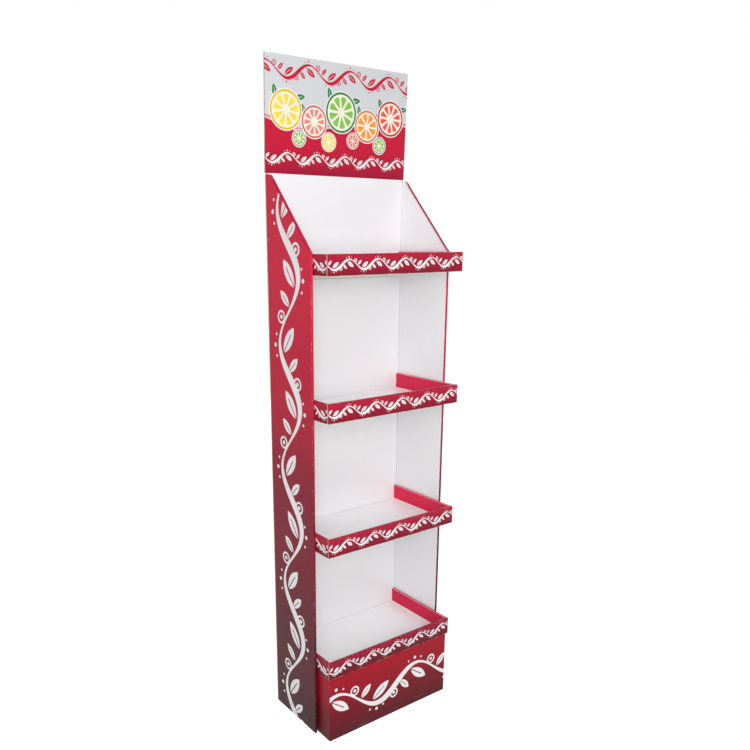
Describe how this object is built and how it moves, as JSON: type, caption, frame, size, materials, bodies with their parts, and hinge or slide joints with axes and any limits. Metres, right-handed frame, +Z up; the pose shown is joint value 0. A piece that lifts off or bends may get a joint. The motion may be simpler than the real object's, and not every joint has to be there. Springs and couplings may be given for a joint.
{
  "type": "cardboard display stand",
  "caption": "Free-standing corrugated cardboard display stand with open lipped shelf trays, sloped shoulders, a header card and a box base, in crimson and white.",
  "frame": {"origin": "on the floor, at the middle of the stand's outline", "axes": "+Z up, +X to the right as the open front is faced, the open front faces -Y"},
  "size_m": [0.402, 0.225, 1.5608],
  "materials": {
    "white_board": "satin",
    "printed_board": "satin",
    "tray_board": "satin",
    "plain_board": "matte"
  },
  "bodies": {
    "root": {"body_wrap": "white_board", "header_card": "printed_board", "tray_1": "tray_board", "tray_2": "tray_board", "tray_3": "tray_board", "tray_4": "tray_board", "base_box": "printed_board", "base_support": "plain_board"}
  },
  "joints": []
}
